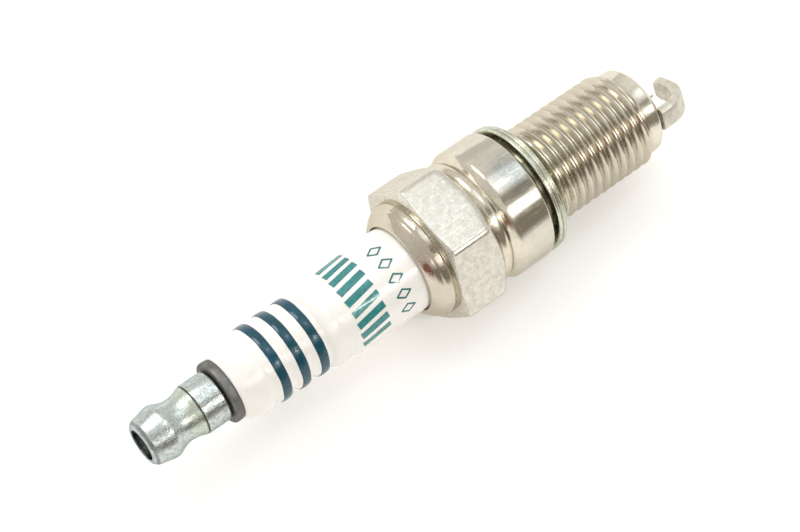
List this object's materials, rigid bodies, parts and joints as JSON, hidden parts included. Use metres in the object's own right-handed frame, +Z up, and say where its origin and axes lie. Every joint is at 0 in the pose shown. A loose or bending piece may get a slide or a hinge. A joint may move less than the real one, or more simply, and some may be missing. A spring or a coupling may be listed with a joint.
{
  "type": "spark plug",
  "caption": "Resistor spark plug with a ribbed ceramic insulator, removable terminal nut, hexagon shell, folded gasket and long-reach thread.",
  "frame": {"origin": "on the ground below the middle of the plug as it lies on its side", "axes": "+X along the plug's axis towards the spark gap, +Z up, +Y to the side away from the side electrode's foot"},
  "size_m": [0.0746, 0.0182, 0.0162],
  "materials": {
    "shell_nickel": "bright warm nickel plate on steel",
    "terminal_zinc": "bright zinc plate with a faint green tint",
    "stud_steel": "dark heat-stained satin steel",
    "ceramic_glaze": "glossy off-white glaze over alumina",
    "enamel": "glossy dark blue-green fired enamel",
    "gasket_zinc": "smooth pale yellow-green zinc plate",
    "nickel_alloy": "satin nickel alloy",
    "iridium": "fine-ground iridium alloy",
    "copper": "bare copper",
    "seal_glass": "dark copper-filled sealing glass",
    "resistor": "matt carbon and glass composition",
    "packing_steel": "plain steel wire",
    "talc": "packed talc powder"
  },
  "bodies": {
    "plug": {"metal_shell": "shell_nickel", "insulator": "ceramic_glaze", "enamel_band_1": "enamel", "enamel_band_2": "enamel", "enamel_band_3": "enamel", "terminal_stud": "stud_steel", "upper_glass_seal": "seal_glass", "resistor": "resistor", "lower_glass_seal": "seal_glass", "centre_electrode": "nickel_alloy", "copper_core": "copper", "tip_weld": "nickel_alloy", "iridium_tip": "iridium", "upper_packing_ring": "packing_steel", "talc_packing": "talc", "lower_packing_ring": "packing_steel", "seat_packing": "packing_steel", "side_electrode": "nickel_alloy", "side_weld": "nickel_alloy"},
    "terminal_nut": {"terminal_nut": "terminal_zinc"},
    "gasket": {"gasket": "gasket_zinc"}
  },
  "joints": [
    {"name": "nut_unscrew", "type": "slide", "parent": "plug", "child": "terminal_nut", "axis": [-1, 0, 0], "range_m": [0, 0.008]},
    {"name": "gasket_spin", "type": "hinge", "parent": "plug", "child": "gasket", "pos_m": [0.01445, 0, 0.0081], "axis": [1, 0, 0], "continuous": true}
  ]
}
